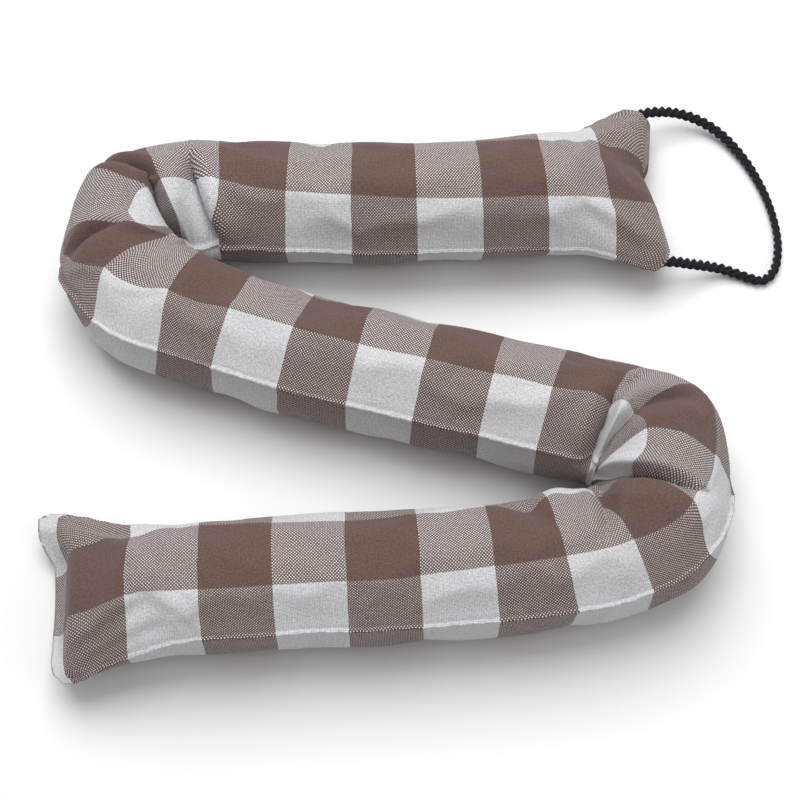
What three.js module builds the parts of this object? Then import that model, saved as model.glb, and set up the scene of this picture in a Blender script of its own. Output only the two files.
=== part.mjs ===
// A draught excluder: a stuffed tube of woven check cloth, folded into an S on a table, with a cord loop at one end.
// Millimetres, +Z up. The tube lies on z = 0, and the origin is under the middle of its box.
import * as THREE from "three";

// Driving dimensions of the stuffed tube.
const HALF_HEIGHT = 26;
const SEWN_EDGE_HALF = 1.2; // half thickness of the closed edge at an end
const LIP = 5; // depth of the flat top-stitched lip at the front end
const PUFF = 42; // length over which an end fills out to full height
const EDGE_REACH = 14; // how far into the tube an end's uneven edge is felt
const SEAM_RIDGE = 1.2; // how far a side seam stands out of the cloth

// The tube's middle line as it lies, from the stitched front end to the loop end: legs by points, bends by arcs.
const FRONT_LEG = [
  { x: -132.5, y: -98.5 },
  { x: -112.5, y: -99 },
  { x: -80.5, y: -98 },
  { x: -32.5, y: -95 },
  { x: 15.5, y: -92.5 },
  { x: 47.5, y: -90 },
  { x: 71.5, y: -86.5 },
];
const RIGHT_BEND = { x: 85, y: -54, radius: 29.5, from: -76, to: 64, points: 8 };
const MIDDLE_LEG = [
  { x: 77.5, y: -22.5 },
  { x: 41.5, y: -13.5 },
  { x: 7.5, y: -5 },
  { x: -26.5, y: 3.5 },
  { x: -58.5, y: 13.5 },
  { x: -76.5, y: 20 },
];
const LEFT_BEND = { x: -83.5, y: 53, radius: 29, from: 248, to: 92, points: 9 };
const UPPER_LEG = [
  { x: -58.5, y: 81 },
  { x: -22.5, y: 80 },
  { x: 11.5, y: 80.5 },
  { x: 47.5, y: 82.5 },
  { x: 83.5, y: 86 },
  { x: 105.5, y: 89.5 },
  { x: 119.5, y: 92 },
];
const LINE_STEPS = 780; // samples of the middle line, about one a millimetre
const SMOOTHING = 10; // samples to each side that round the joins of legs and bends

// Sections along the middle line. A station below zero counts back from the loop end. The roll is in degrees,
// and lifts the seam on the right-hand side of someone walking from the front end to the loop end.
const SECTIONS = [
  { at: 0, halfWidth: 37, centre: 15, roll: 4 },
  { at: 14, halfWidth: 34.5, centre: 17, roll: 7 },
  { at: 30, halfWidth: 30, centre: 20.5, roll: 10 },
  { at: 48, halfWidth: 27, centre: 24, roll: 13 },
  { at: 60, halfWidth: 27, centre: 24.5, roll: 14 },
  { at: 222, halfWidth: 27, centre: 24.5, roll: 14 },
  { at: 268, halfWidth: 27, centre: 24.5, roll: -8 },
  { at: 318, halfWidth: 27.2, centre: 24.5, roll: -30 },
  { at: 462, halfWidth: 27.3, centre: 24.5, roll: -30 },
  { at: 545, halfWidth: 27.4, centre: 24.5, roll: -5 },
  { at: 605, halfWidth: 27.4, centre: 24.5, roll: 8 },
  { at: -57, halfWidth: 27.4, centre: 24.5, roll: 7 },
  { at: -34, halfWidth: 29.5, centre: 22.5, roll: 5 },
  { at: -20, halfWidth: 34.5, centre: 19.5, roll: 4 },
  { at: -8, halfWidth: 39, centre: 17, roll: 3 },
  { at: -0.01, halfWidth: 41.5, centre: 16, roll: 2 },
];

// How far an end's sewn edge stands out, from its left-hand corner (across -1) to its right-hand one (across 1).
const FRONT_EDGE = [
  { across: -1, out: 12 },
  { across: -0.88, out: 8 },
  { across: -0.7, out: 3 },
  { across: 0, out: 0 },
  { across: 0.75, out: -4 },
  { across: 1, out: -7 },
];
const LOOP_EDGE = [
  { across: -1, out: 7 },
  { across: -0.4, out: 3 },
  { across: -0.1, out: -2 },
  { across: 0.3, out: 0 },
  { across: 1, out: -1 },
];

// Soft swells on the outside of the bends. Around is in degrees: 0 right-hand side, 90 top, 180 left-hand side.
const SWELLS = [
  { at: 250, around: -10, rise: 4, length: 14, spread: 45 },
  { at: 284, around: 0, rise: 8, length: 13, spread: 45 },
  { at: 520, around: 180, rise: 1, length: 20, spread: 45 },
  { at: 552, around: 160, rise: 5, length: 13, spread: 45 },
  { at: 207, around: 155, rise: 3, length: 8, spread: 30 },
  { at: 638, around: 60, rise: 1.5, length: 9, spread: 22 },
];

// Folds: straight troughs on the cloth between two places, each a station and an angle around.
const FOLDS = [
  { name: "right inner tuck", at: 301, around: 150, toAt: 295, toAround: 62, depth: 7, width: 4.5 },
  { name: "right crown crease", at: 291, around: 105, toAt: 287, toAround: 32, depth: 3, width: 4.5 },
  { name: "right bend crease", at: 267, around: 160, toAt: 256, toAround: 68, depth: 4.5, width: 4.5 },
  { name: "right entry crease", at: 238, around: 160, toAt: 224, toAround: 95, depth: 4.5, width: 5 },
  { name: "front leg dimple", at: 194, around: 144, toAt: 200, toAround: 112, depth: 4.5, width: 5 },
  { name: "left outer crease", at: 532, around: 150, toAt: 534, toAround: 80, depth: 5, width: 5 },
  { name: "left deep fold", at: 558, around: 74, toAt: 548, toAround: 20, depth: 8, width: 5 },
  { name: "white column fold", at: 580, around: 92, toAt: 589, toAround: 30, depth: 7, width: 4.5 },
  { name: "left top crease", at: 558, around: 140, toAt: 560, toAround: 98, depth: 4, width: 5 },
  { name: "middle leg dimple", at: 474, around: 62, toAt: 478, toAround: 84, depth: 2.5, width: 9 },
  { name: "middle leg dip", at: 432, around: 40, toAt: 433, toAround: 64, depth: 2.5, width: 8 },
  { name: "upper leg dip", at: 631, around: 140, toAt: 632, toAround: 96, depth: 2.5, width: 6 },
];
const AROUND_MM = 0.47; // cloth length of one degree around the tube

// Mesh: ring spacing up to each station, and the cloth angles of a ring from one side seam to the other.
const RING_STEPS = [
  { upTo: 6, step: 2 },
  { upTo: 50, step: 4 },
  { upTo: 186, step: 8 },
  { upTo: 312, step: 3.2 },
  { upTo: 504, step: 8 },
  { upTo: 596, step: 3.2 },
  { upTo: -50, step: 8 },
  { upTo: -6, step: 4 },
  { upTo: -0.01, step: 2 },
];
const BESIDE_SEAM = 5;
const RING_ANGLE = 12;

// The loop: one three-strand cord from one corner of the loop end to the other, by hand-chosen points.
const CORD_RADIUS = 1.75;
const CORD_STRANDS = 3;
const CORD_KNOB = 0.3; // how far a strand stands out of the mean radius
const CORD_TWIST = 10; // length of one full turn of the strands
const CORD_SIDES = 12;
const CORD_STEP = 1.1;
const CORD_ROUTE = [
  { x: 118.6, y: 133.8, z: 14.6 },
  { x: 124, y: 135.6, z: 14 },
  { x: 134, y: 137.6, z: 11 },
  { x: 143, y: 137.2, z: 8 },
  { x: 151, y: 134.6, z: 5.5 },
  { x: 158, y: 129.6, z: 4 },
  { x: 164.5, y: 122, z: 3 },
  { x: 169.5, y: 114, z: 2.4 },
  { x: 173.5, y: 105, z: 2.2 },
  { x: 176.5, y: 96, z: 2.2 },
  { x: 178.5, y: 86.5, z: 2.2 },
  { x: 179.5, y: 77, z: 2.2 },
  { x: 179, y: 68, z: 2.2 },
  { x: 177, y: 60, z: 2.2 },
  { x: 174, y: 55.5, z: 2.2 },
  { x: 170, y: 53.5, z: 2.2 },
  { x: 165.5, y: 54.5, z: 2.2 },
  { x: 160, y: 56.5, z: 2.6 },
  { x: 152.5, y: 58.4, z: 4.2 },
  { x: 145, y: 58.4, z: 7 },
  { x: 137, y: 57.6, z: 10.5 },
  { x: 130.5, y: 57, z: 13.4 },
  { x: 124.2, y: 56.2, z: 15.2 },
];

// Points along one bend's arc, in the direction of travel.
function arcPoints(bend) {
  const points = [];
  for (let i = 0; i < bend.points; i++) {
    const share = i / (bend.points - 1);
    const angle = THREE.MathUtils.degToRad(THREE.MathUtils.lerp(bend.from, bend.to, share));
    points.push({ x: bend.x + bend.radius * Math.cos(angle), y: bend.y + bend.radius * Math.sin(angle) });
  }
  return points;
}

// The middle line as evenly spaced samples, each a point and a heading, with the joins rounded by averaging.
function middleLine() {
  const marks = [...FRONT_LEG, ...arcPoints(RIGHT_BEND), ...MIDDLE_LEG, ...arcPoints(LEFT_BEND), ...UPPER_LEG];
  const curve = new THREE.CatmullRomCurve3(marks.map((mark) => new THREE.Vector3(mark.x, mark.y, 0)));
  curve.arcLengthDivisions = LINE_STEPS;
  const raw = curve.getSpacedPoints(LINE_STEPS);
  const points = raw.map((point, i) => {
    const reach = Math.min(SMOOTHING, i, LINE_STEPS - i);
    const near = raw.slice(i - reach, i + reach + 1);
    return near.reduce((sum, other) => sum.add(other), new THREE.Vector3()).divideScalar(near.length);
  });
  let at = 0;
  return points.map((point, i) => {
    const before = points[Math.max(i - 1, 0)];
    const after = points[Math.min(i + 1, LINE_STEPS)];
    at += point.distanceTo(before);
    return { at, x: point.x, y: point.y, heading: Math.atan2(after.y - before.y, after.x - before.x) };
  });
}

// Turn from one heading to another, the short way round.
function turnBetween(from, to) {
  return Math.atan2(Math.sin(to - from), Math.cos(to - from));
}

const LINE = middleLine();
const LENGTH = LINE[LINE_STEPS].at;

// A station counted back from the loop end, as a length from the front end.
function station(at) {
  return at < 0 ? LENGTH + at : at;
}

// One column of a table, interpolated between the rows to each side of a key.
function lookUp(rows, keyColumn, column, key) {
  const last = rows.findIndex((row) => row[keyColumn] >= key);
  if (last === 0) return rows[0][column];
  if (last < 0) return rows[rows.length - 1][column];
  const [low, high] = [rows[last - 1], rows[last]];
  const share = (key - low[keyColumn]) / (high[keyColumn] - low[keyColumn]);
  return THREE.MathUtils.lerp(low[column], high[column], share);
}

const SECTION_ROWS = SECTIONS.map((row) => ({ ...row, at: station(row.at) }));

// The middle line at a station: its point, its heading and how sharply it turns to the left.
function lineAt(at) {
  const place = THREE.MathUtils.clamp((at / LENGTH) * LINE_STEPS, 0, LINE_STEPS - 1);
  const low = LINE[Math.floor(place)];
  const high = LINE[Math.floor(place) + 1];
  const share = place - Math.floor(place);
  const turn = turnBetween(low.heading, high.heading);
  return {
    x: THREE.MathUtils.lerp(low.x, high.x, share),
    y: THREE.MathUtils.lerp(low.y, high.y, share),
    heading: low.heading + turn * share,
    curvature: (turn * LINE_STEPS) / LENGTH,
  };
}

// Half height of the section at a station: a rounded puff behind each sewn edge.
function halfHeight(at) {
  const lip = at < LENGTH / 2 ? LIP : 0;
  const fromEnd = Math.min(at, LENGTH - at);
  const share = THREE.MathUtils.clamp((fromEnd - lip) / (PUFF - lip), 0, 1);
  return SEWN_EDGE_HALF + (HALF_HEIGHT - SEWN_EDGE_HALF) * Math.sqrt(1 - (1 - share) ** 2);
}

// Difference of two angles in degrees, the short way round.
function degreesApart(a, b) {
  return THREE.MathUtils.euclideanModulo(a - b + 180, 360) - 180;
}

// How far the cloth stands out (above zero) or in at a station and an angle around: swells, less the deepest fold.
// Stretch is the cloth's length there for each millimetre of the middle line: short inside a bend, long outside.
function relief(at, around, stretch) {
  let out = 0;
  for (const swell of SWELLS) {
    const along = (at - swell.at) / swell.length;
    const across = degreesApart(around, swell.around) / swell.spread;
    out += swell.rise * Math.exp(-(along ** 2) - across ** 2);
  }
  let deepest = 0;
  const nearest = new THREE.Vector3();
  for (const fold of FOLDS) {
    const place = new THREE.Vector3((at - fold.at) * stretch, degreesApart(around, fold.around) * AROUND_MM, 0);
    const end = new THREE.Vector3((fold.toAt - fold.at) * stretch, (fold.toAround - fold.around) * AROUND_MM, 0);
    new THREE.Line3(new THREE.Vector3(), end).closestPointToPoint(place, true, nearest);
    deepest = Math.max(deepest, fold.depth * Math.exp(-((place.distanceTo(nearest) / fold.width) ** 2)));
  }
  return out - deepest;
}

// A point of the tube's skin: station along the middle line, cloth angle from the right-hand side seam.
function skinPoint(at, cloth) {
  const line = lineAt(at);
  const roll = THREE.MathUtils.degToRad(lookUp(SECTION_ROWS, "at", "roll", at));
  const halfWidth = lookUp(SECTION_ROWS, "at", "halfWidth", at);
  const centre = lookUp(SECTION_ROWS, "at", "centre", at);
  const height = halfHeight(at);
  const fromEnd = Math.min(at, LENGTH - at);
  const angle = cloth + roll;
  const onSeam = Math.abs(Math.sin(cloth)) < 1e-6 ? SEAM_RIDGE : 0;
  const stretch = 1 + line.curvature * halfWidth * Math.cos(angle);
  const rise = (relief(at, THREE.MathUtils.radToDeg(angle), stretch) * height) / HALF_HEIGHT + onSeam;
  const across = halfWidth * Math.cos(cloth);
  const up = height * Math.sin(cloth);
  const right = across * Math.cos(roll) - up * Math.sin(roll) + rise * Math.cos(angle);
  const z = centre + across * Math.sin(roll) + up * Math.cos(roll) + rise * Math.sin(angle);
  const front = at < LENGTH / 2;
  const edge = lookUp(front ? FRONT_EDGE : LOOP_EDGE, "across", "out", Math.cos(cloth));
  const forward = (front ? -edge : edge) * Math.exp(-((fromEnd / EDGE_REACH) ** 2));
  const [ahead, side] = [Math.cos(line.heading), Math.sin(line.heading)];
  return new THREE.Vector3(line.x + side * right + ahead * forward, line.y - ahead * right + side * forward, Math.max(z, 0));
}

// A closed solid from rings of equal length: quads between rings, and a ladder of quads across each end.
function ringSolid(rings) {
  const count = rings[0].length;
  const positions = rings.flatMap((ring) => ring.flatMap((point) => point.toArray()));
  const index = [];
  const quad = (a, b, c, d) => index.push(a, b, c, a, c, d);
  for (let r = 0; r + 1 < rings.length; r++) {
    for (let i = 0; i < count; i++) {
      const next = (i + 1) % count;
      quad(r * count + i, r * count + next, (r + 1) * count + next, (r + 1) * count + i);
    }
  }
  const lastRing = (rings.length - 1) * count;
  for (let i = 0; i < count / 2; i++) {
    const [low, lowNext] = [i, i + 1];
    const [high, highNext] = [(count - i) % count, count - i - 1];
    const rungs = [low, lowNext, highNext, high].filter((corner, k, all) => all.indexOf(corner) === k);
    for (let k = 1; k + 1 < rungs.length; k++) {
      index.push(rungs[0], rungs[k + 1], rungs[k]);
      index.push(lastRing + rungs[0], lastRing + rungs[k], lastRing + rungs[k + 1]);
    }
  }
  const geometry = new THREE.BufferGeometry();
  geometry.setAttribute("position", new THREE.Float32BufferAttribute(positions, 3));
  geometry.setIndex(index);
  geometry.computeVertexNormals();
  return geometry;
}

// Stations of the rings, spaced as the ring table says.
function ringStations() {
  const stations = [0];
  for (const row of RING_STEPS) {
    const from = stations[stations.length - 1];
    const span = station(row.upTo) - from;
    const count = Math.max(Math.round(span / row.step), 1);
    for (let i = 1; i <= count; i++) stations.push(from + (span * i) / count);
  }
  return stations;
}

// Cloth angles of one ring, in radians, finer beside the side seams, listed so that the faces look out.
function ringAngles() {
  const half = [0, BESIDE_SEAM];
  for (let angle = RING_ANGLE; angle < 180; angle += RING_ANGLE) half.push(angle);
  half.push(180 - BESIDE_SEAM);
  const full = [...half, ...half.map((angle) => angle + 180)];
  return full.map((angle) => THREE.MathUtils.degToRad(-angle));
}

// The stuffed tube of two sewn strips of cloth.
function makeBody() {
  const angles = ringAngles();
  const rings = ringStations().map((at) => angles.map((cloth) => skinPoint(at, cloth)));
  const material = new THREE.MeshStandardMaterial({ color: 0x8f837d, roughness: 0.95, metalness: 0 });
  const mesh = new THREE.Mesh(ringSolid(rings), material);
  mesh.name = "body";
  return mesh;
}

// The cord loop, its twisted strands raised on the section.
function makeLoop() {
  const curve = new THREE.CatmullRomCurve3(CORD_ROUTE.map((mark) => new THREE.Vector3(mark.x, mark.y, mark.z)));
  const length = curve.getLength();
  const steps = Math.round(length / CORD_STEP);
  const frames = curve.computeFrenetFrames(steps, false);
  const rings = curve.getSpacedPoints(steps).map((centre, i) => {
    const twist = ((i * length) / steps / CORD_TWIST) * 2 * Math.PI;
    return Array.from({ length: CORD_SIDES }, (_, k) => {
      const angle = (k / CORD_SIDES) * 2 * Math.PI;
      const radius = CORD_RADIUS + CORD_KNOB * Math.cos(CORD_STRANDS * angle);
      const out = frames.normals[i].clone().multiplyScalar(radius * Math.cos(angle + twist));
      return out.addScaledVector(frames.binormals[i], radius * Math.sin(angle + twist)).add(centre);
    });
  });
  const material = new THREE.MeshStandardMaterial({ color: 0x17181c, roughness: 0.9, metalness: 0 });
  const mesh = new THREE.Mesh(ringSolid(rings), material);
  mesh.name = "hanging_loop";
  return mesh;
}

// Both pieces, moved together so that the origin is under the middle of the tube's box.
function makePart() {
  const body = makeBody();
  const loop = makeLoop();
  const centre = new THREE.Box3().setFromObject(body).getCenter(new THREE.Vector3());
  for (const mesh of [body, loop]) mesh.position.set(-centre.x, -centre.y, 0);
  const part = new THREE.Group();
  part.add(body, loop);
  return part;
}

export default makePart();
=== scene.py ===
"""A draught excluder: a stuffed tube of woven check cloth, folded into an S, with a cord loop at one end.

Lengths in the tables are millimetres along the tube or around it, and angles are degrees. Around the tube,
0 is the right-hand side of someone walking from the stitched front end to the loop end, 90 the top and 180
the left.
"""

import math

import bpy
import numpy as np
from bpy.props import FloatProperty, FloatVectorProperty, IntProperty, PointerProperty
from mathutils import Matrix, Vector


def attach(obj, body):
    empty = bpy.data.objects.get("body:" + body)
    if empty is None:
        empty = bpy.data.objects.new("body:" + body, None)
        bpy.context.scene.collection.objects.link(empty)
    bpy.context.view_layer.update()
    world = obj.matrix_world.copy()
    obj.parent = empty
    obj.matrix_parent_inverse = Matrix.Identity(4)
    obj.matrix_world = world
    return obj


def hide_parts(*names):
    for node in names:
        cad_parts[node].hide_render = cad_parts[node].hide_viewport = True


bl_info = {
    "name": "Draught Excluder",
    "version": (1, 0, 0),
    "blender": (4, 5, 0),
    "location": "View3D > Sidebar > Draught Excluder",
    "description": "Builds a stuffed check cloth draught excluder with a cord loop around its packed frame",
    "category": "Object",
}

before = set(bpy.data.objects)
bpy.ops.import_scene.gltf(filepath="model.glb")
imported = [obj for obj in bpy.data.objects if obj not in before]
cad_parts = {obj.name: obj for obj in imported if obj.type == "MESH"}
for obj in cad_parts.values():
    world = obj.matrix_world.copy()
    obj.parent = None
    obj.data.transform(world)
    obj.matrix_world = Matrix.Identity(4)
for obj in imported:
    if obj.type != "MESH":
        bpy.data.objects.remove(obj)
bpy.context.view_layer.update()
MM = 0.001

# The tube's middle line, from the stitched front end to the loop end: legs by points, bends by arcs.
FRONT_LEG = (
    (-132.5, -98.5),
    (-112.5, -99),
    (-80.5, -98),
    (-32.5, -95),
    (15.5, -92.5),
    (47.5, -90),
    (71.5, -86.5),
)
RIGHT_BEND = {"x": 85, "y": -54, "radius": 29.5, "from": -76, "to": 64, "points": 8}
MIDDLE_LEG = (
    (77.5, -22.5),
    (41.5, -13.5),
    (7.5, -5),
    (-26.5, 3.5),
    (-58.5, 13.5),
    (-76.5, 20),
)
LEFT_BEND = {"x": -83.5, "y": 53, "radius": 29, "from": 248, "to": 92, "points": 9}
UPPER_LEG = (
    (-58.5, 81),
    (-22.5, 80),
    (11.5, 80.5),
    (47.5, 82.5),
    (83.5, 86),
    (105.5, 89.5),
    (119.5, 92),
)

# Station of the loop end, the step between the line's points, and how many on each side are averaged.
LOOP_END = 780
LINE_STEP = 1.0
SMOOTHING = 10

# How many points are worked out on each stretch of a curve, and on an arc that is measured.
CURVE_POINTS = 40
ARC_POINTS = 181

# Sections along the middle line: station, half width, height of the centre, roll.
SECTIONS = (
    (0, 35.6, 15, 4),
    (3, 36.8, 15.3, 5),
    (14, 34.5, 17, 7),
    (30, 30, 20.5, 10),
    (48, 27, 24, 13),
    (60, 27, 24.5, 14),
    (222, 27, 24.5, 14),
    (268, 27, 24.5, -8),
    (318, 27.2, 24.5, -30),
    (462, 27.3, 24.5, -30),
    (545, 27.4, 24.5, -5),
    (605, 27.4, 24.5, 8),
    (722, 27.4, 24.5, 7),
    (745, 29.5, 22.5, 5),
    (759, 35, 19.5, 4),
    (771, 40.3, 17, 3),
    (777, 42.6, 16.2, 2),
    (780, 41.6, 16, 2),
)

# How far an end's sewn edge stands out, from its left-hand corner (-1) to its right-hand one (1).
FRONT_EDGE = (
    (-1, 8),
    (-0.96, 11.2),
    (-0.73, 10.2),
    (-0.6, 8),
    (-0.43, 3.6),
    (0, 2.2),
    (0.37, 0.8),
    (0.75, -1.6),
    (0.93, -3.4),
    (1, -7),
)
LOOP_EDGE = (
    (-1, 2.5),
    (-0.9, 8),
    (-0.8, 8.7),
    (-0.62, 6.4),
    (-0.35, 3.2),
    (-0.2, 0.9),
    (-0.1, -2),
    (0, -1),
    (0.24, 0.3),
    (0.55, 0.7),
    (0.82, 0.9),
    (0.93, -1),
    (1, -4.5),
)

# How far along the tube that edge's shape reaches.
EDGE_REACH = 16

# How far the middle of the front lip droops below its corners, over what share of the half width and how
# far along the tube.
LIP_DROOP = 14
LIP_DROOP_WIDTH = 0.8
LIP_DROOP_REACH = 9

# How far the puff behind the front lip stands over it, at which station, and over what length.
LIP_OVERHANG = 3.5
LIP_OVERHANG_AT = 12
LIP_OVERHANG_REACH = 5

# How far the under layer shows beyond the upper one at the loop end, and over what length.
UNDER_LAYER = 1.8
UNDER_LAYER_REACH = 6

# How far the tube's middle lies left of its line near the loop end: station, shift.
END_SHIFT = ((735, 0), (780, 2))

# Where the sewn seams and the rows of checks run: station, then the angles around of the right-hand seam,
# the line between the first two rows, the line between the last two rows, and the left-hand seam.
ROW_LINES = (
    (0, 4, 71, 113, 184),
    (33, 18, 75, 134, 198),
    (60, 27, 72, 137, 207),
    (140, 27, 72, 137, 207),
    (177, 27, 77, 141, 207),
    (231, 27, 78, 141, 205),
    (246, 25, 68, 138, 200),
    (254, 18, 62, 136, 195),
    (260, 8, 52, 132, 188),
    (268, -12, 39, 116, 178),
    (275, -26, 26, 104, 170),
    (284, -38, 14, 93, 162),
    (296, -40, 12, 89, 151),
    (312, -36, 24, 89, 149),
    (470, -33, 27, 90, 147),
    (492, -36, 26, 91, 147),
    (517, -34, 34, 110, 154),
    (524, -29, 40, 138, 170),
    (530, -20, 56, 162, 188),
    (535, -8, 76, 172, 196),
    (540, -2, 85, 175, 200),
    (550, 4, 87, 172, 200),
    (564, 11, 84, 160, 198),
    (589, 14, 81, 153, 197),
    (618, 13, 72, 150, 197),
    (643, 12, 69, 148, 195),
    (672, 10, 66, 142, 193),
    (702, 8, 63, 132, 189),
    (745, 5, 61, 122, 185),
    (768, 3, 68, 112, 183),
    (780, 2, 73, 102, 182),
)

# The same four lines on the flat cloth, and the width of a strip between its seams.
ROW_EDGES = (0, 26, 56, 84)
PANEL = 84

# Rows of the mesh beside each seam, the first row of the open cloth, and how many rows that has.
ROWS_BESIDE_SEAM = (0, 0.5, 1.0, 1.6, 2.4, 3.4)
FIRST_OPEN_ROW = 4.8
OPEN_ROWS = 48

# Pale cloth at the front lip, before the first brown column.
PALE_LIP = 9

# Where the edges of the check columns cross those lines: cloth length from the front end, four stations.
COLUMN_EDGES = (
    (0, 0, 0, 0, 0),
    (9, 6.5, 6.5, 6.5, 6.5),
    (39, 33, 33, 33, 33),
    (189, 177, 177, 177, 177),
    (219, 207, 205, 203, 201),
    (249, 231, 231, 226, 224),
    (279, 246, 253, 259, 262),
    (309, 262, 269, 282, 287),
    (339, 281, 286, 291, 297),
    (369, 294, 296, 301.5, 303),
    (429, 351, 351, 351, 351),
    (549, 464, 464, 464, 464),
    (579, 485, 489, 491, 488),
    (609, 528, 526, 517, 509),
    (639, 533, 534.5, 534, 529),
    (669, 542, 553.5, 549, 545),
    (699, 557, 562, 564, 561),
    (729, 590, 589, 585, 583),
    (759, 618, 618, 618, 618),
    (909, 757.5, 757.5, 757.5, 757.5),
    (933, 780, 780, 780, 780),
)

# Soft swells, most of them on the outside of the bends: station, angle, rise, length, spread of angle.
SWELLS = (
    (250, -10, 4, 14, 45),
    (284, 0, 8, 13, 45),
    (502, 32, 3.5, 24, 45),
    (520, 180, 1, 20, 45),
    (552, 160, 5, 13, 45),
    (207, 155, 3, 8, 30),
    (638, 60, 1.5, 9, 22),
)

# Tucks, where two round lips of cloth meet in a cleft: from a station and an angle to another, depth,
# width of the lip before the cleft and of the one after it, how far the lips swell, and how far a lip
# leans over the cleft: above 0 the lip before it leans ahead, below 0 the lip after it leans back.
TUCKS = (
    (304, 150, 301.5, 86, 15, 4.5, 9, 1.4, -1.5),
    (301.5, 90, 296, 34, 6, 5, 8, 0.8, 0),
    (296, 142, 290, 80, 6, 5, 4.5, 0.6, 0),
    (291, 86, 284, 34, 5, 8, 6, 0.8, 0),
    (262, 160, 257, 66, 12, 12, 5, 1.8, 3.5),
    (231, 156, 222, 88, 7, 7, 8, 1.0, 0),
    (528, 146, 534, 92, 4.5, 7, 5, 0.8, 1),
    (558, 88, 542, 12, 17, 8, 5, 1.4, 3.5),
    (577, 104, 590, 20, 17, 12, 4.5, 1.6, -4),
    (553, 156, 561, 94, 10, 6, 5, 1.2, 1),
)

# Shallow dimples: from a station and an angle to another, depth, width.
DIMPLES = (
    (12, 40, 40, 62, 1.6, 4),
    (16, 26, 44, 40, 1.4, 3.5),
    (12, 150, 38, 132, 1.6, 4),
    (779, 99, 762, 112, 5, 4.5),
    (772, 60, 750, 72, 1.6, 5),
    (768, 22, 748, 40, 1.4, 4),
    (770, 150, 748, 132, 1.6, 5),
    (194, 144, 200, 112, 4.5, 5),
    (474, 62, 478, 84, 2.5, 9),
    (432, 40, 433, 64, 2.5, 8),
    (631, 140, 632, 96, 2.5, 6),
)

# The profile of a tuck in shares: how round its hollow is, where a lip's crest stands and how wide it is,
# and where a lip leans most and how widely.
TUCK_PROFILE = {"round": 0.6, "crest": 0.9, "crest_width": 0.6, "lean": 0.45, "lean_width": 0.5}

# Millimetres of cloth for each degree around, and the least share that a bend shortens its inside to.
AROUND_MM = 0.47
LEAST_STRETCH = 0.02

# The uneven stuffing: rise, seed, count of waves, shortest and longest wave, most turns, divisor.
LUMPS = {"rise": 0.7, "seed": 11, "waves": 30, "shortest": 25, "longest": 90, "turns": 4, "divisor": 12}

# Sewing: a seam ridge's width and its least share at the ends, the puckers along it, the stitched line.
SEAM_WIDTH = 0.9
SEAM_LEAST = 0.25
PUCKER = {"rise": 0.22, "length": 7.5, "reach": 5}
STITCHED_LINE = {"at": 3, "depth": 0.6, "width": 0.8}

# How deep the groove between the two layers is at the front end and at the loop end.
END_GROOVES = (1.0, 0.4)

# The simulation: how many times its size the tube is, the solver's steps, stiffness and the air's drag.
SIMULATED_SIZE = 30
SOLVER_STEPS = 4
STRETCH_STIFFNESS = 20
SHEAR_STIFFNESS = 8
BENDING_STIFFNESS = 2
AIR_DAMPING = 2

# What it holds still: the stretch at the front end and at the loop end, cloth this near the floor or a
# seam, and clefts deeper than this.
HELD_FRONT = 8
HELD_LOOP_END = 5
HELD_HEIGHT = 1.5
HELD_BESIDE_SEAM = 0.8
HELD_DEPTH = 4

# What is kept of it: broad movement is the mean over this many rings and rows on each side, and creases
# are the rest. Neither moves a point further than its limit.
BROAD_WINDOW = (9, 7)
BROAD_SHARE = 0.15
BROAD_LIMIT = 0.4
CREASE_LIMIT = 1.2

# The loop's route, point by point, with the ends led into the two corners of the loop end.
CORD_ROUTE = (
    (114.8, 132.5, 15.0),
    (118.6, 133.8, 14.6),
    (124, 135.6, 14),
    (134, 137.6, 11),
    (143, 137.2, 8),
    (151, 134.6, 5.5),
    (158, 129.6, 4),
    (164.5, 122, 3),
    (169.5, 114, 2.4),
    (173.5, 105, 2.2),
    (176.5, 96, 2.2),
    (178.5, 86.5, 2.2),
    (179.5, 77, 2.2),
    (179, 68, 2.2),
    (177, 60, 2.2),
    (174, 55.5, 2.2),
    (170, 53.5, 2.2),
    (165.5, 54.5, 2.2),
    (160, 56.5, 2.6),
    (152.5, 58.4, 4.2),
    (145, 58.4, 7),
    (137, 57.6, 10.5),
    (130.5, 57, 13.4),
    (124.2, 56.2, 15.2),
    (120.4, 55.7, 16.3),
)

# The cord: the step along it, the length of one twist, and its strands, in shares of the cord's diameter
# for the radius and of that radius for the offset and the knobs.
CORD_STEP = 0.4
CORD_TWIST = 10.8
CORD_STRANDS = 3
STRAND_RADIUS = 0.34
STRAND_OFFSET = 0.95
STRAND_KNOB = 0.28
STRAND_SIDES = 10

# Where the loop is pulled straight the cord is thinner: by what share, where along it, over what length.
CORD_PULLED = {"thinner": 0.28, "at": 0.53, "length": 36}

# The stage: the middle of the view, the sensor's width, the floor's half width in metres and its gap
# below the tube, and the strength of the even light.
VIEW_CENTRE = (7.5, -15.5, 25)
SENSOR_WIDTH = 36
FLOOR_REACH = 3.0
FLOOR_GAP = 0.2
EVEN_LIGHT = 0.26

# Softboxes: name, place and width in metres, power in watts.
SOFTBOXES = (
    ("key_softbox", (-0.15, 0.65, 1.5), 1.4, 30),
    ("left_softbox", (-1.1, 0.2, 1.1), 1.0, 0.8),
    ("right_softbox", (1.1, -0.4, 1.2), 1.0, 4),
    ("front_softbox", (0.1, -0.25, 0.95), 0.6, 1.2),
)


def linear(code):
    """An sRGB hex colour as linear red, green, blue and alpha."""
    channels = [int(code[i : i + 2], 16) / 255 for i in (1, 3, 5)]
    return tuple(c / 12.92 if c <= 0.04045 else ((c + 0.055) / 1.055) ** 2.4 for c in channels) + (1.0,)


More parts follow.
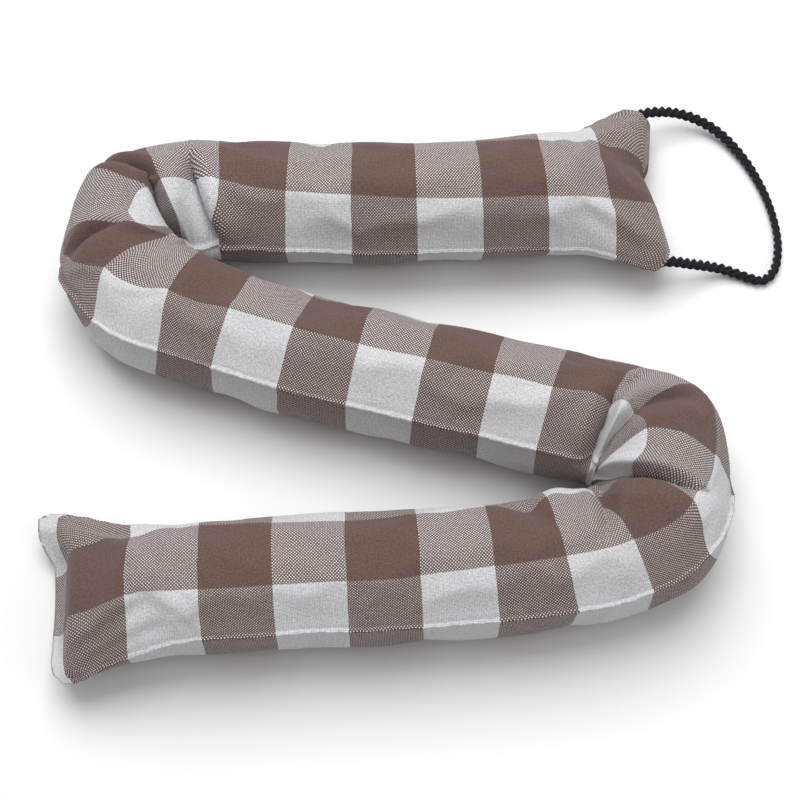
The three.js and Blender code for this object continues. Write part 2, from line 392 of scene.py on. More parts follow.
class ExcluderTube(bpy.types.PropertyGroup):
    """Sizes of the stuffed tube"""

    half_height: FloatProperty(
        name="Half height", description="Half the thickness of a full leg", default=26 * MM, unit="LENGTH"
    )
    sewn_edge: FloatProperty(
        name="Sewn edge", description="Half the thickness of a closed end", default=1.2 * MM, unit="LENGTH"
    )
    lip: FloatProperty(
        name="Stitched lip",
        description="Depth of the flat lip at the front end",
        default=7 * MM,
        unit="LENGTH",
    )
    puff: FloatProperty(
        name="Puff", description="Length over which an end fills out", default=42 * MM, unit="LENGTH"
    )
    seam_ridge: FloatProperty(
        name="Seam ridge", description="How far a side seam stands out", default=1.6 * MM, unit="LENGTH"
    )
    rings: IntProperty(name="Rings", description="Rings of the mesh along the tube", default=600, min=100)


class ExcluderCloth(bpy.types.PropertyGroup):
    """The woven check"""

    check: FloatProperty(
        name="Check", description="Width of one column of checks", default=30 * MM, unit="LENGTH"
    )
    yarn: FloatProperty(name="Yarn", description="Spacing of the yarns", default=0.66 * MM, unit="LENGTH")
    brown: FloatVectorProperty(
        name="Brown yarn",
        description="Colour of the brown yarn",
        subtype="COLOR",
        size=4,
        default=linear("#6d5751"),
    )
    white: FloatVectorProperty(
        name="White yarn",
        description="Colour of the pale yarn",
        subtype="COLOR",
        size=4,
        default=linear("#d8d8da"),
    )


class ExcluderSettle(bpy.types.PropertyGroup):
    """The cloth settling on its stuffing"""

    frames: IntProperty(name="Frames", description="Length of the cloth simulation", default=12, min=2)
    sink: FloatProperty(
        name="Sink", description="Pressure that draws the cloth onto the stuffing", default=1.2, min=0
    )
    slack: FloatProperty(
        name="Slack",
        description="Share by which the cloth is larger than its stuffing",
        default=0.02,
        subtype="FACTOR",
    )
    creases: FloatProperty(
        name="Creases",
        description="Share of the simulated creases that is kept",
        default=0.38,
        subtype="FACTOR",
    )


class ExcluderLoop(bpy.types.PropertyGroup):
    """The cord loop"""

    diameter: FloatProperty(
        name="Diameter", description="Thickness of the cord", default=3.5 * MM, unit="LENGTH"
    )
    colour: FloatVectorProperty(
        name="Cord",
        description="Colour of the cord",
        subtype="COLOR",
        size=4,
        default=linear("#17181d"),
    )


class ExcluderStage(bpy.types.PropertyGroup):
    """Camera, floor and light"""

    elevation: FloatProperty(
        name="Elevation",
        description="Height of the view above the horizon",
        default=math.radians(66),
        unit="ROTATION",
    )
    distance: FloatProperty(
        name="Distance", description="Camera to the middle of the view", default=692 * MM, unit="LENGTH"
    )
    lens: FloatProperty(
        name="Lens", description="Focal length on a 36 mm sensor", default=74, unit="CAMERA"
    )
    floor: FloatVectorProperty(
        name="Floor",
        description="Colour of the floor",
        subtype="COLOR",
        size=4,
        default=linear("#e9e9e9"),
    )


def add_node(tree, kind, settings=(), inputs=()):
    """A node with its settings and links. An input is a plain value, or a socket that links to it."""
    made = tree.nodes.new(kind)
    for name, value in dict(settings).items():
        setattr(made, name, value)
    for key, value in dict(inputs).items():
        if isinstance(value, bpy.types.NodeSocket):
            tree.links.new(value, made.inputs[key])
        else:
            made.inputs[key].default_value = value
    return made


def new_material(name):
    """An empty node material with its output, and the tree to fill."""
    material = bpy.data.materials.new(name)
    material.use_nodes = True
    tree = material.node_tree
    tree.nodes.clear()
    return material, tree, add_node(tree, "ShaderNodeOutputMaterial")


def woven_check_cotton():
    """Plain-woven cotton in two yarns: crisp squares of brown, of white and of both mixed dot by dot, matte,
    with a coarse grain of rounded yarns and a faint fuzz that lifts the edges."""
    cloth = bpy.context.scene.excluder_cloth
    material, tree, output = new_material("woven_check_cotton")
    place = add_node(tree, "ShaderNodeAttribute", {"attribute_name": "cloth"}).outputs["Vector"]
    # Cloth is never quite square: the yarns wander by about a third of a millimetre over 18 mm.
    wander = add_node(tree, "ShaderNodeTexNoise", inputs={"Vector": place, "Scale": 1 / 18, "Detail": 2.0})
    wander = add_node(
        tree,
        "ShaderNodeVectorMath",
        {"operation": "SUBTRACT"},
        {0: wander.outputs["Color"], 1: (0.5, 0.5, 0.5)},
    )
    place = add_node(
        tree,
        "ShaderNodeVectorMath",
        {"operation": "MULTIPLY_ADD"},
        {0: wander.outputs["Vector"], 1: (0.9, 0.9, 0.0), 2: place},
    ).outputs["Vector"]
    axes = add_node(tree, "ShaderNodeSeparateXYZ", inputs={"Vector": place})
    # Columns: part of a pale one at the front lip, then brown and pale ones in turn.
    repeat = 2 * cloth.check / MM
    phase = add_node(
        tree,
        "ShaderNodeMath",
        {"operation": "MULTIPLY_ADD"},
        {0: axes.outputs["X"], 1: 1 / repeat, 2: -PALE_LIP / repeat},
    )
    phase = add_node(tree, "ShaderNodeMath", {"operation": "FRACT"}, {0: phase.outputs[0]})
    brown_column = add_node(
        tree, "ShaderNodeMath", {"operation": "LESS_THAN"}, {0: phase.outputs[0], 1: 0.5}
    )
    # Rows: the middle one is brown, and it ends at the two lines of the row table.
    middle = (ROW_EDGES[1] + ROW_EDGES[2]) / 2
    half = (ROW_EDGES[2] - ROW_EDGES[1]) / 2
    brown_row = add_node(
        tree, "ShaderNodeMath", {"operation": "COMPARE"}, {0: axes.outputs["Y"], 1: middle, 2: half}
    )
    # Two yarns cross in each cell, and the brown one covers more: where only one of them is brown, the
    # pale one shows as a dot in every other cell. A yarn is drawn at 0.66 mm, coarser than the real one,
    # so that the dots show.
    yarn = cloth.yarn / MM
    waves = add_node(
        tree, "ShaderNodeVectorMath", {"operation": "SCALE"}, {0: place, "Scale": math.pi / yarn}
    )
    waves = add_node(tree, "ShaderNodeVectorMath", {"operation": "SINE"}, {0: waves.outputs["Vector"]})
    waves = add_node(tree, "ShaderNodeSeparateXYZ", inputs={"Vector": waves.outputs["Vector"]})
    cells = add_node(
        tree, "ShaderNodeMath", {"operation": "MULTIPLY"}, {0: waves.outputs["X"], 1: waves.outputs["Y"]}
    )
    # The brown warp of a column hides more of the pale yarn than the brown weft of the middle row does.
    cover = add_node(
        tree, "ShaderNodeMath", {"operation": "MULTIPLY_ADD"}, {0: brown_row.outputs[0], 1: -0.22, 2: 0.45}
    )
    dot = add_node(
        tree, "ShaderNodeMath", {"operation": "GREATER_THAN"}, {0: cells.outputs[0], 1: cover.outputs[0]}
    )
    browns = add_node(
        tree, "ShaderNodeMath", {"operation": "ADD"}, {0: brown_row.outputs[0], 1: brown_column.outputs[0]}
    )
    shown = add_node(
        tree, "ShaderNodeMath", {"operation": "SUBTRACT"}, {0: browns.outputs[0], 1: dot.outputs[0]}
    )
    is_brown = add_node(
        tree, "ShaderNodeMath", {"operation": "GREATER_THAN"}, {0: shown.outputs[0], 1: 0.5}
    )
    # Each yarn varies a little in shade along its length, and the whole cloth has faint broad patches.
    grain = add_node(tree, "ShaderNodeTexNoise", inputs={"Vector": place, "Scale": 1.1, "Detail": 3.0})
    patches = add_node(tree, "ShaderNodeTexNoise", inputs={"Vector": place, "Scale": 1 / 45, "Detail": 3.0})
    shade = add_node(
        tree,
        "ShaderNodeMapRange",
        inputs={
            "Value": grain.outputs["Fac"],
            "From Min": 0.3,
            "From Max": 0.7,
            "To Min": 0.76,
            "To Max": 1.2,
        },
    )
    # Each crossing is a small rounded bump, and painted shade darkens the colour between the yarns.
    knots = add_node(tree, "ShaderNodeMath", {"operation": "ABSOLUTE"}, {0: cells.outputs[0]})
    between = add_node(
        tree, "ShaderNodeMath", {"operation": "MULTIPLY_ADD"}, {0: knots.outputs[0], 1: 0.3, 2: 0.72}
    )
    shade = add_node(
        tree, "ShaderNodeMath", {"operation": "MULTIPLY"}, {0: shade.outputs[0], 1: between.outputs[0]}
    )
    tone = add_node(
        tree,
        "ShaderNodeMix",
        {"data_type": "RGBA"},
        {"Factor": is_brown.outputs[0], 6: cloth.white, 7: cloth.brown},
    )
    aged = add_node(
        tree,
        "ShaderNodeMapRange",
        inputs={
            "Value": patches.outputs["Fac"],
            "From Min": 0.5,
            "From Max": 0.8,
            "To Min": 0.0,
            "To Max": 0.18,
        },
    )
    tone = add_node(
        tree,
        "ShaderNodeMix",
        {"data_type": "RGBA", "blend_type": "MULTIPLY"},
        {"Factor": aged.outputs[0], 6: tone.outputs[2], 7: linear("#e2d8c8")},
    )
    tone = add_node(
        tree,
        "ShaderNodeVectorMath",
        {"operation": "SCALE"},
        {0: tone.outputs[2], "Scale": shade.outputs[0]},
    )
    bump = add_node(
        tree,
        "ShaderNodeBump",
        inputs={"Strength": 0.5, "Distance": 0.25 * MM, "Height": knots.outputs[0]},
    )
    skin = add_node(
        tree,
        "ShaderNodeBsdfPrincipled",
        inputs={
            "Base Color": tone.outputs["Vector"],
            "Roughness": 0.95,
            "IOR": 1.5,
            "Specular IOR Level": 0.2,
            "Sheen Weight": 0.12,
            "Sheen Roughness": 0.5,
            "Normal": bump.outputs["Normal"],
        },
    )
    tree.links.new(skin.outputs["BSDF"], output.inputs["Surface"])
    return material


def braided_cotton_cord():
    """Dyed braided cotton cord: near-black, matte, with fibres that catch a little light on the knobs."""
    material, tree, output = new_material("braided_cotton_cord")
    place = add_node(tree, "ShaderNodeTexCoord").outputs["Object"]
    # Fibres of the yarn, about 0.3 mm apart.
    fibres = add_node(tree, "ShaderNodeTexNoise", inputs={"Vector": place, "Scale": 3000.0, "Detail": 3.0})
    shade = add_node(
        tree,
        "ShaderNodeMapRange",
        inputs={
            "Value": fibres.outputs["Fac"],
            "From Min": 0.3,
            "From Max": 0.7,
            "To Min": 0.6,
            "To Max": 1.5,
        },
    )
    tone = add_node(
        tree,
        "ShaderNodeVectorMath",
        {"operation": "SCALE"},
        {0: bpy.context.scene.excluder_loop.colour[:3], "Scale": shade.outputs[0]},
    )
    bump = add_node(
        tree,
        "ShaderNodeBump",
        inputs={"Strength": 0.4, "Distance": 0.2 * MM, "Height": fibres.outputs["Fac"]},
    )
    skin = add_node(
        tree,
        "ShaderNodeBsdfPrincipled",
        inputs={
            "Base Color": tone.outputs["Vector"],
            "Roughness": 0.9,
            "IOR": 1.5,
            "Specular IOR Level": 0.25,
            "Sheen Weight": 0.1,
            "Normal": bump.outputs["Normal"],
        },
    )
    tree.links.new(skin.outputs["BSDF"], output.inputs["Surface"])
    return material


def matte_paper_floor():
    """Matt paper roll of a product photograph: almost white, no gloss, a faint tooth."""
    material, tree, output = new_material("matte_paper_floor")
    place = add_node(tree, "ShaderNodeTexCoord").outputs["Object"]
    # Tooth of the paper, about 1 mm.
    tooth = add_node(tree, "ShaderNodeTexNoise", inputs={"Vector": place, "Scale": 1000.0, "Detail": 2.0})
    bump = add_node(
        tree,
        "ShaderNodeBump",
        inputs={"Strength": 0.05, "Distance": 0.1 * MM, "Height": tooth.outputs["Fac"]},
    )
    skin = add_node(
        tree,
        "ShaderNodeBsdfPrincipled",
        inputs={
            "Base Color": bpy.context.scene.excluder_stage.floor,
            "Roughness": 0.95,
            "IOR": 1.45,
            "Specular IOR Level": 0.1,
            "Normal": bump.outputs["Normal"],
        },
    )
    tree.links.new(skin.outputs["BSDF"], output.inputs["Surface"])
    return material


def smooth_curve(marks, step):
    """Evenly spaced points, about a step apart, on a centripetal Catmull-Rom curve through the marks."""
    marks = np.asarray(marks, float)
    marks = np.vstack([2 * marks[0] - marks[1], marks, 2 * marks[-1] - marks[-2]])
    pieces = []
    share = np.linspace(0, 1, CURVE_POINTS, endpoint=False)[:, None]
    for before, start, end, after in zip(marks, marks[1:], marks[2:], marks[3:]):
        gaps = [math.sqrt(np.linalg.norm(b - a)) for a, b in ((before, start), (start, end), (end, after))]
        leave = (start - before) / gaps[0] - (end - before) / (gaps[0] + gaps[1]) + (end - start) / gaps[1]
        arrive = (end - start) / gaps[1] - (after - start) / (gaps[1] + gaps[2]) + (after - end) / gaps[2]
        leave, arrive = leave * gaps[1], arrive * gaps[1]
        square = 3 * (end - start) - 2 * leave - arrive
        cube = 2 * (start - end) + leave + arrive
        pieces.append(start + leave * share + square * share**2 + cube * share**3)
    dense = np.vstack([*pieces, marks[-2]])
    lengths = np.concatenate([[0], np.cumsum(np.linalg.norm(np.diff(dense, axis=0), axis=1))])
    count = int(round(lengths[-1] / step))
    even = np.linspace(0, lengths[-1], count + 1)
    return np.stack([np.interp(even, lengths, dense[:, k]) for k in range(dense.shape[1])], axis=1)


def arc_points(bend):
    """Points along one bend's arc, in the direction of travel."""
    angles = np.radians(np.linspace(bend["from"], bend["to"], bend["points"]))
    x = bend["x"] + bend["radius"] * np.cos(angles)
    y = bend["y"] + bend["radius"] * np.sin(angles)
    return list(zip(x, y))


def middle_line():
    """The middle line: stations, points, headings and how sharply it turns left, with its joins rounded."""
    marks = [*FRONT_LEG, *arc_points(RIGHT_BEND), *MIDDLE_LEG, *arc_points(LEFT_BEND), *UPPER_LEG]
    raw = smooth_curve(marks, LINE_STEP)
    last = len(raw) - 1
    points = []
    for i in range(last + 1):
        reach = min(SMOOTHING, i, last - i)
        points.append(raw[i - reach : i + reach + 1].mean(axis=0))
    points = np.array(points)
    at = np.concatenate([[0], np.cumsum(np.linalg.norm(np.diff(points, axis=0), axis=1))])
    ahead = np.gradient(points, axis=0)
    heading = np.unwrap(np.arctan2(ahead[:, 1], ahead[:, 0]))
    return {
        "at": at * LOOP_END / at[-1],
        "x": points[:, 0],
        "y": points[:, 1],
        "heading": heading,
        "turn": np.gradient(heading, at),
    }


def column(rows, key, number):
    """One column of a table, interpolated at the keys of its first column."""
    table = np.array(rows, float)
    return np.interp(key, table[:, 0], table[:, number])


def half_height(at):
    """Half height of the section at a station: a rounded puff behind each sewn edge."""
    tube = bpy.context.scene.excluder_tube
    sewn, full, puff = tube.sewn_edge / MM, tube.half_height / MM, tube.puff / MM
    lip = np.where(at < LOOP_END / 2, tube.lip / MM, 0)
    share = np.clip((np.minimum(at, LOOP_END - at) - lip) / (puff - lip), 0, 1)
    return sewn + (full - sewn) * np.sqrt(1 - (1 - share) ** 2)


def degrees_apart(a, b):
    """Difference of two angles in degrees, the short way round."""
    return (a - b + 180) % 360 - 180


def from_line(at, around, stretch, row):
    """Distance on the cloth from a line between two places, the share along it, and whether before it."""
    start_at, start_around, end_at, end_around = row[:4]
    along = (at - start_at) * stretch
    across = degrees_apart(around, start_around) * AROUND_MM
    reach = (end_at - start_at) * stretch
    sweep = (end_around - start_around) * AROUND_MM
    share = np.clip((along * reach + across * sweep) / (reach**2 + sweep**2), 0, 1)
    return np.hypot(along - share * reach, across - share * sweep), share, along < share * reach


def bell(distance, width):
    """1 at no distance, falling off smoothly to about a third at the width."""
    return np.exp(-((distance / width) ** 2))


def lumps(lengths, places):
    """Gentle unevenness of the stuffing, about 1 from hollow to crown, from waves of 25 to 90 mm."""
    draw = np.random.RandomState(LUMPS["seed"])
    total = np.zeros(np.broadcast(lengths, places).shape)
    for _ in range(LUMPS["waves"]):
        wave = 2 * math.pi / draw.uniform(LUMPS["shortest"], LUMPS["longest"])
        turns = draw.randint(-LUMPS["turns"], LUMPS["turns"] + 1) * math.pi / PANEL
        total += np.sin(lengths * wave + places * turns + draw.uniform(0, 2 * math.pi))
    return total / LUMPS["divisor"]


def relief(at, around, stretch):
    """How far the cloth stands out, swells less the deepest tuck or dimple, and how far it leans ahead."""
    out = np.zeros_like(around)
    for station, angle, rise, length, spread in SWELLS:
        near = ((at - station) / length) ** 2 + (degrees_apart(around, angle) / spread) ** 2
        out += rise * np.exp(-near)
    deepest = np.zeros_like(around)
    lean = np.zeros_like(around)
    profile = TUCK_PROFILE
    for row in TUCKS:
        distance, share, before = from_line(at, around, stretch, row)
        depth, lip_before, lip_after, swell, over = row[4:]
        lip = np.where(before, lip_before, lip_after)
        near = 1 - np.minimum(distance / lip, 1)
        # A tuck is full in its middle and eases off to about half at both ends.
        ease = np.sin(np.pi * (0.1 + 0.8 * share)) ** 0.6
        hollow = profile["round"] * (1 - np.sqrt(1 - near**2)) + (1 - profile["round"]) * near**2
        deepest = np.maximum(deepest, depth * ease * hollow)
        out += swell * ease * bell(distance - profile["crest"] * lip, profile["crest_width"] * lip)
        leans = before if over > 0 else ~before
        most = bell(distance - profile["lean"] * lip, profile["lean_width"] * lip)
        lean += np.where(leans, over, 0) * ease * most
    for row in DIMPLES:
        distance, _, _ = from_line(at, around, stretch, row)
        depth, width = row[4:]
        deepest = np.maximum(deepest, depth * bell(distance, width))
    return out - deepest, lean


def skin_points(line, at, around, extra):
    """Points of the tube's skin at stations, a column, and angles around, with an extra rise, in mm."""
    roll = np.radians(column(SECTIONS, at, 3))
    half_width = column(SECTIONS, at, 1)
    centre = column(SECTIONS, at, 2)
    height = half_height(at)
    x, y, heading, turn = (np.interp(at, line["at"], line[name]) for name in ("x", "y", "heading", "turn"))
    angle = np.radians(around)
    cloth = angle - roll
    stretch = np.maximum(1 + turn * half_width * np.cos(angle), LEAST_STRETCH)
    full = bpy.context.scene.excluder_tube.half_height / MM
    rise, lean = relief(at, around, stretch)
    rise = rise * height / full + extra
    across = half_width * np.cos(cloth)
    up = height * np.sin(cloth)
    right = across * np.cos(roll) - up * np.sin(roll) + rise * np.cos(angle) - column(END_SHIFT, at, 1)
    z = np.maximum(centre + across * np.sin(roll) + up * np.cos(roll) + rise * np.sin(angle), 0)
    front = at < LOOP_END / 2
    edge = np.where(front, -column(FRONT_EDGE, np.cos(cloth), 1), column(LOOP_EDGE, np.cos(cloth), 1))
    from_end = np.minimum(at, LOOP_END - at)
    forward = edge * bell(from_end, EDGE_REACH) + lean
    over = LIP_OVERHANG * bell(at - LIP_OVERHANG_AT, LIP_OVERHANG_REACH) * np.clip(np.sin(cloth), 0, 1)
    under = UNDER_LAYER * bell(from_end, UNDER_LAYER_REACH) * np.clip(-np.sin(cloth), 0, 1) ** 0.3
    forward += np.where(front, -over, under)
    sag = np.clip(1 - (np.cos(cloth) / LIP_DROOP_WIDTH) ** 2, 0, 1)
    droop = LIP_DROOP * sag * bell(at, LIP_DROOP_REACH)
    z = np.maximum(z - np.where(front, droop, 0), 0)
    ahead, side = np.cos(heading), np.sin(heading)
    return np.stack([x + side * right + ahead * forward, y - ahead * right + side * forward, z], axis=-1)


def ring_places():
    """Places of the rows of the mesh around one panel, in cloth millimetres from the right-hand seam."""
    inner = np.linspace(FIRST_OPEN_ROW, PANEL - FIRST_OPEN_ROW, OPEN_ROWS)
    far_seam = [PANEL - place for place in reversed(ROWS_BESIDE_SEAM)]
    return np.array([*ROWS_BESIDE_SEAM, *inner, *far_seam])


def arc_lengths(angles, at):
    """Lengths along the section at a station, up to each of the angles around."""
    flat = np.radians(angles - column(SECTIONS, at, 3))
    across = column(SECTIONS, at, 1) * np.cos(flat)
    up = half_height(at) * np.sin(flat)
    return np.concatenate([[0], np.cumsum(np.hypot(np.diff(across), np.diff(up)))])


def ring_angles(at, places):
    """Angles around of those places on each ring, over the top panel and back under it."""
    lines = [column(ROW_LINES, at, k + 1)[:, 0] for k in range(4)]
    angles = np.zeros((len(at), 2 * len(places) - 2))
    for i in range(len(at)):
        marks = [line[i] for line in lines]
        over = np.linspace(marks[0], marks[3], ARC_POINTS)
        arc = arc_lengths(over, at[i, 0])
        top = np.interp(np.interp(places, ROW_EDGES, np.interp(marks, over, arc)), arc, over)
        under = np.linspace(marks[3], marks[0] + 360, ARC_POINTS)
        arc = arc_lengths(under, at[i, 0])
        bottom = np.interp((PANEL - places[::-1]) / PANEL * arc[-1], arc, under)
        angles[i] = np.concatenate([top, bottom[1:-1]])
    return angles


def cloth_lengths(at, places):
    """Cloth length from the front end at each station and place."""
    table = np.array(COLUMN_EDGES, float)
    lines = [np.interp(at[:, 0], table[:, k + 1], table[:, 0]) for k in range(4)]
    return np.stack([np.interp(places, ROW_EDGES, row) for row in np.stack(lines, axis=1)])


def ring_stations(count):
    """Stations of the rings, evenly spaced on the cloth."""
    table = np.array(COLUMN_EDGES, float)
    mean = table[:, 1:].mean(axis=1)
    return np.interp(np.linspace(0, table[-1, 0], count), table[:, 0], mean)[:, None]


def new_piece(name, verts, faces, material):
    """A smooth mesh object of those points, in metres, with its material."""
    mesh = bpy.data.meshes.new(name)
    mesh.from_pydata([tuple(point) for point in verts], [], faces)
    mesh.validate()
    mesh.polygons.foreach_set("use_smooth", [True] * len(mesh.polygons))
    mesh.materials.append(material)
    piece = bpy.data.objects.new(name, mesh)
    bpy.context.scene.collection.objects.link(piece)
    return piece


def ring_faces(count, around):
    """Quads between rings of a tube, facing out."""
    faces = []
    for r in range(count - 1):
        for i in range(around):
            j = (i + 1) % around
            faces.append(((r + 1) * around + i, (r + 1) * around + j, r * around + j, r * around + i))
    return faces


def sewn_ends(verts, cloth, faces, rings, panel_rows):
    """Close both ends with a shallow groove between the two layers: the points and cloth places with it."""
    count = 2 * panel_rows - 2
    for ring, neighbour, depth in ((0, 1, END_GROOVES[0]), (rings - 1, rings - 2, END_GROOVES[1])):
        base = ring * count
        top = [base + k for k in range(panel_rows)]
        under = [base + (count - k) % count for k in range(panel_rows)]
        inward = verts[count * neighbour][None] - verts[base][None]
        inward = inward / np.linalg.norm(inward)
        groove = (verts[top[1:-1]] + verts[under[1:-1]]) / 2 + inward * depth
        middle = [top[0], *range(len(verts), len(verts) + panel_rows - 2), top[-1]]
        verts = np.vstack([verts, groove])
        cloth = np.vstack([cloth, cloth[top[1:-1]]])
        for k in range(panel_rows - 1):
            upper = [top[k], top[k + 1], middle[k + 1], middle[k]]
            lower = [middle[k], middle[k + 1], under[k + 1], under[k]]
            for quad in (upper, lower):
                corners = list(dict.fromkeys(quad))
                if len(corners) > 2:
                    faces.append(tuple(corners if ring == 0 else corners[::-1]))
    return verts, cloth


def window_mean(grid, rings, rows):
    """Mean over a window of rings and rows, the rows going round the tube."""
    padded = np.concatenate([grid[:1]] * rings + [grid] + [grid[-1:]] * rings)
    sums = np.cumsum(np.concatenate([np.zeros_like(grid[:1]), padded]), axis=0)
    along = (sums[2 * rings + 1 :] - sums[: -2 * rings - 1]) / (2 * rings + 1)
    return sum(np.roll(along, shift, axis=1) for shift in range(-rows, rows + 1)) / (2 * rows + 1)


def limited(moves, limit):
    """Moves shortened smoothly so that none is longer than the limit."""
    far = np.maximum(np.linalg.norm(moves, axis=-1, keepdims=True), 1e-9)
    return moves * np.tanh(far / limit) * limit / far


def settle(piece, held, rings):
    """Let the cloth sink onto its stuffing in a short simulation, and keep the creases but not the sinking.

    The held points stay where they are. The piece is simulated enlarged, where the solver is steady."""
    settings = bpy.context.scene.excluder_settle
    start = np.zeros(3 * len(piece.data.vertices))
    piece.data.vertices.foreach_get("co", start)
    piece.data.vertices.foreach_set("co", start * SIMULATED_SIZE)
    group = piece.vertex_groups.new(name="held")
    group.add([int(i) for i in np.flatnonzero(held)], 1.0, "REPLACE")
    modifier = piece.modifiers.new("settle", "CLOTH")
    cloth = modifier.settings
    cloth.quality = SOLVER_STEPS
    cloth.tension_stiffness = STRETCH_STIFFNESS
    cloth.compression_stiffness = STRETCH_STIFFNESS
    cloth.shear_stiffness = SHEAR_STIFFNESS
    cloth.bending_stiffness = BENDING_STIFFNESS
    cloth.air_damping = AIR_DAMPING
    cloth.vertex_group_mass = group.name
    cloth.shrink_min = -settings.slack
    cloth.use_pressure = True
    cloth.uniform_pressure_force = -settings.sink
    cloth.effector_weights.gravity = 0
    modifier.collision_settings.use_collision = False
    modifier.point_cache.frame_start = 1
    modifier.point_cache.frame_end = settings.frames
    for number in range(1, settings.frames + 1):
        bpy.context.scene.frame_set(number)
    settled = piece.evaluated_get(bpy.context.evaluated_depsgraph_get()).data
    points = np.zeros_like(start)
    settled.vertices.foreach_get("co", points)
    piece.modifiers.remove(modifier)
    piece.vertex_groups.remove(group)
    bpy.context.scene.frame_set(1)
    start = start.reshape(-1, 3)
    moves = points.reshape(-1, 3) / SIMULATED_SIZE - start
    if not np.isfinite(moves).all():
        raise RuntimeError("The cloth simulation did not hold together")
    grid = moves[: rings[0] * rings[1]].reshape(*rings, 3) / MM
    broad = window_mean(grid, *BROAD_WINDOW)
    creases = limited((grid - broad) * settings.creases, CREASE_LIMIT)
    kept = creases + limited(broad * BROAD_SHARE, BROAD_LIMIT)
    after = start.copy()
    after[: rings[0] * rings[1]] += kept.reshape(-1, 3) * MM
    after[:, 2] = np.maximum(after[:, 2], 0)
    piece.data.vertices.foreach_set("co", after.ravel())
    piece.data.update()


class ExcluderStageOperator(bpy.types.Operator):
    """Make the camera, the floor and the light"""

    bl_idname = "excluder.stage"
    bl_label = "Stage"

    def execute(self, context):
        stage = context.scene.excluder_stage
        lens = bpy.data.cameras.new("camera")
        lens.lens = stage.lens
        lens.sensor_width = SENSOR_WIDTH
        camera = bpy.data.objects.new("camera", lens)
        target = Vector(VIEW_CENTRE) * MM
        back = Vector((0, -math.cos(stage.elevation), math.sin(stage.elevation)))
        camera.location = target + back * stage.distance
        camera.rotation_euler = (math.pi / 2 - stage.elevation, 0, 0)
        context.scene.collection.objects.link(camera)
        context.scene.camera = camera
        reach = FLOOR_REACH
        corners = [(-reach, -reach, 0), (reach, -reach, 0), (reach, reach, 0), (-reach, reach, 0)]
        floor = new_piece("floor", corners, [(0, 1, 2, 3)], matte_paper_floor())
        floor.location.z = -FLOOR_GAP * MM
        for name, place, width, power in SOFTBOXES:
            light = bpy.data.lights.new(name, "AREA")
            light.size = width
            light.energy = power
            lamp = bpy.data.objects.new(name, light)
            lamp.location = place
            lamp.rotation_euler = (target - Vector(place)).to_track_quat("-Z", "Y").to_euler()
            context.scene.collection.objects.link(lamp)
        world = bpy.data.worlds.new("studio")
        world.use_nodes = True
        background = world.node_tree.nodes["Background"]
        background.inputs["Color"].default_value = linear("#ffffff")
        background.inputs["Strength"].default_value = EVEN_LIGHT
        context.scene.world = world
        context.scene.view_settings.view_transform = "Standard"
        return {"FINISHED"}


class ExcluderLoopOperator(bpy.types.Operator):
    """Make the cord loop"""

    bl_idname = "excluder.hanging_loop"
    bl_label = "Hanging loop"

    def execute(self, context):
        loop = context.scene.excluder_loop
        path = smooth_curve(CORD_ROUTE, CORD_STEP)
        length = np.linalg.norm(np.diff(path, axis=0), axis=1).sum()
        ahead = np.gradient(path, axis=0)
        ahead /= np.linalg.norm(ahead, axis=1)[:, None]
        side = np.cross(ahead, (0, 0, 1))
        side /= np.linalg.norm(side, axis=1)[:, None]
        lift = np.cross(side, ahead)
        # Plump twisted strands, with a knob twice in each turn, thinner where the loop is pulled
        # straight.
        run = np.arange(len(path)) * CORD_STEP
        pulled = bell(run - CORD_PULLED["at"] * length, CORD_PULLED["length"])
        thin = 1 - CORD_PULLED["thinner"] * pulled
        strand = loop.diameter / MM * STRAND_RADIUS
        sides = STRAND_SIDES
        angle = np.arange(sides) / sides * 2 * math.pi
        across = np.cos(angle)[None, :, None] * side[:, None]
        ring = across + np.sin(angle)[None, :, None] * lift[:, None]
        verts = []
        faces = []
        for k in range(CORD_STRANDS):
            turn = 2 * math.pi * (run / CORD_TWIST + k / CORD_STRANDS)
            axis = np.cos(turn)[:, None] * side + np.sin(turn)[:, None] * lift
            centre = path + axis * (strand * STRAND_OFFSET * thin)[:, None]
            knob = strand * thin * (1 + STRAND_KNOB * np.cos(2 * turn))
            base = len(verts) * len(path) * sides
            verts.append((centre[:, None] + knob[:, None, None] * ring).reshape(-1, 3))
            faces += [tuple(base + i for i in quad) for quad in ring_faces(len(path), sides)]
            faces.append(tuple(base + i for i in range(sides)))
            faces.append(tuple(base + len(path) * sides - 1 - i for i in range(sides)))
        verts = np.vstack(verts)
        piece = new_piece("hanging_cord", verts * MM, faces, braided_cotton_cord())
        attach(piece, "root")
        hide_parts("hanging_loop")
        return {"FINISHED"}


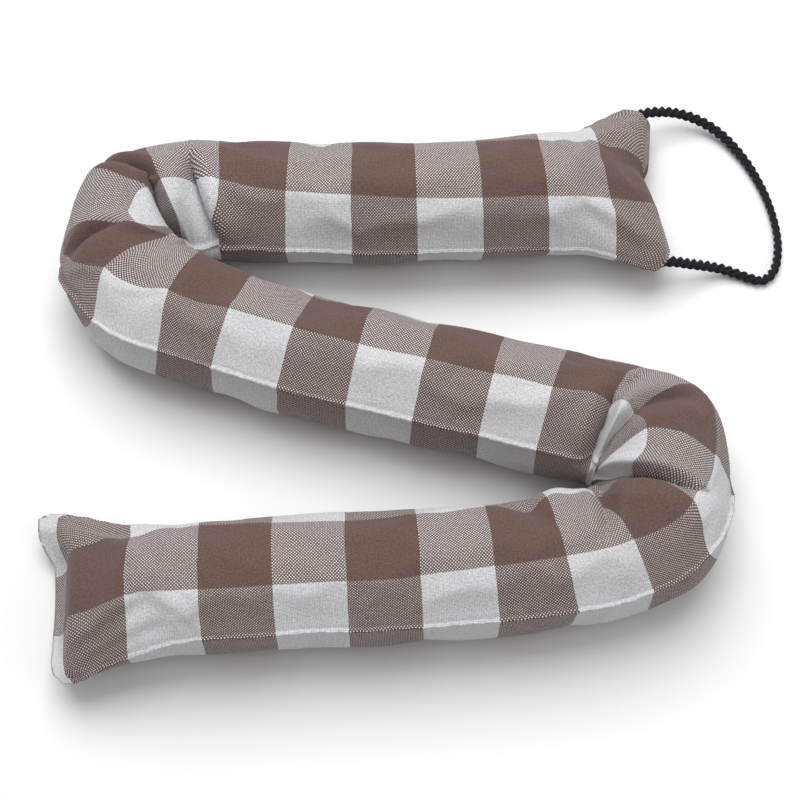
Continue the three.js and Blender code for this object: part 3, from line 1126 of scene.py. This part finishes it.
class ExcluderBodyOperator(bpy.types.Operator):
    """Make the stuffed tube of two sewn strips of cloth"""

    bl_idname = "excluder.body"
    bl_label = "Stuffed tube"

    def execute(self, context):
        tube = context.scene.excluder_tube
        line = middle_line()
        at = ring_stations(tube.rings)
        panel = ring_places()
        places = np.concatenate([panel, panel[-2:0:-1]])
        around = ring_angles(at, panel)
        lengths = cloth_lengths(at, places)
        beside = np.minimum(places, PANEL - places)[None, :]
        full = half_height(at) / (tube.half_height / MM)
        ridge = tube.seam_ridge / MM * bell(beside, SEAM_WIDTH) * np.minimum(1, SEAM_LEAST + full)
        waves = np.sin(2 * math.pi * lengths / PUCKER["length"])
        pucker = PUCKER["rise"] * waves * bell(beside, PUCKER["reach"])
        once_round = np.concatenate([panel, 2 * PANEL - panel[-2:0:-1]])
        uneven = LUMPS["rise"] * lumps(lengths, once_round) * full
        stitched = -STITCHED_LINE["depth"] * bell(at - STITCHED_LINE["at"], STITCHED_LINE["width"])
        points = skin_points(line, at, around, ridge + pucker + uneven + stitched)
        count = len(places)
        rows = np.broadcast_to(places, lengths.shape)
        cloth = np.stack([lengths, rows, np.zeros_like(lengths)], axis=-1).reshape(-1, 3)
        faces = ring_faces(len(at), count)
        verts, cloth = sewn_ends(points.reshape(-1, 3), cloth, faces, len(at), len(panel))
        piece = new_piece("stuffed_tube", verts * MM, faces, woven_check_cotton())
        depth, _ = relief(at, around, np.ones_like(around))
        ends = (at < HELD_FRONT) | (at > LOOP_END - HELD_LOOP_END)
        on_floor = points[:, :, 2] < HELD_HEIGHT
        sewn = (beside < HELD_BESIDE_SEAM) | (depth < -HELD_DEPTH)
        held = np.ones(len(verts), bool)
        held[: len(at) * count] = (ends | on_floor | sewn).ravel()
        settle(piece, held, (len(at), count))
        layer = piece.data.attributes.new("cloth", "FLOAT_VECTOR", "POINT")
        layer.data.foreach_set("vector", cloth.ravel())
        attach(piece, "root")
        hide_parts("body")
        return {"FINISHED"}


class ExcluderPanel(bpy.types.Panel):
    """Sizes, colours and operators of the draught excluder"""

    bl_idname = "VIEW3D_PT_excluder"
    bl_label = "Draught Excluder"
    bl_space_type = "VIEW_3D"
    bl_region_type = "UI"
    bl_category = "Draught Excluder"

    def draw(self, context):
        for name in SETTINGS:
            group = getattr(context.scene, name)
            box = self.layout.box()
            for key in group.__annotations__:
                box.prop(group, key)
        for operator in OPERATORS:
            self.layout.operator(operator.bl_idname)


SETTINGS = {
    "excluder_tube": ExcluderTube,
    "excluder_cloth": ExcluderCloth,
    "excluder_settle": ExcluderSettle,
    "excluder_loop": ExcluderLoop,
    "excluder_stage": ExcluderStage,
}
OPERATORS = (ExcluderStageOperator, ExcluderLoopOperator, ExcluderBodyOperator)


def register():
    for kind in (*SETTINGS.values(), *OPERATORS, ExcluderPanel):
        bpy.utils.register_class(kind)
    for name, kind in SETTINGS.items():
        setattr(bpy.types.Scene, name, PointerProperty(type=kind))


def unregister():
    for name in SETTINGS:
        delattr(bpy.types.Scene, name)
    for kind in (ExcluderPanel, *reversed(OPERATORS), *reversed(SETTINGS.values())):
        bpy.utils.unregister_class(kind)


def main():
    register()
    bpy.ops.excluder.stage()
    bpy.ops.excluder.hanging_loop()
    bpy.ops.excluder.body()
    bpy.context.view_layer.update()


if __name__ == "__main__":
    main()
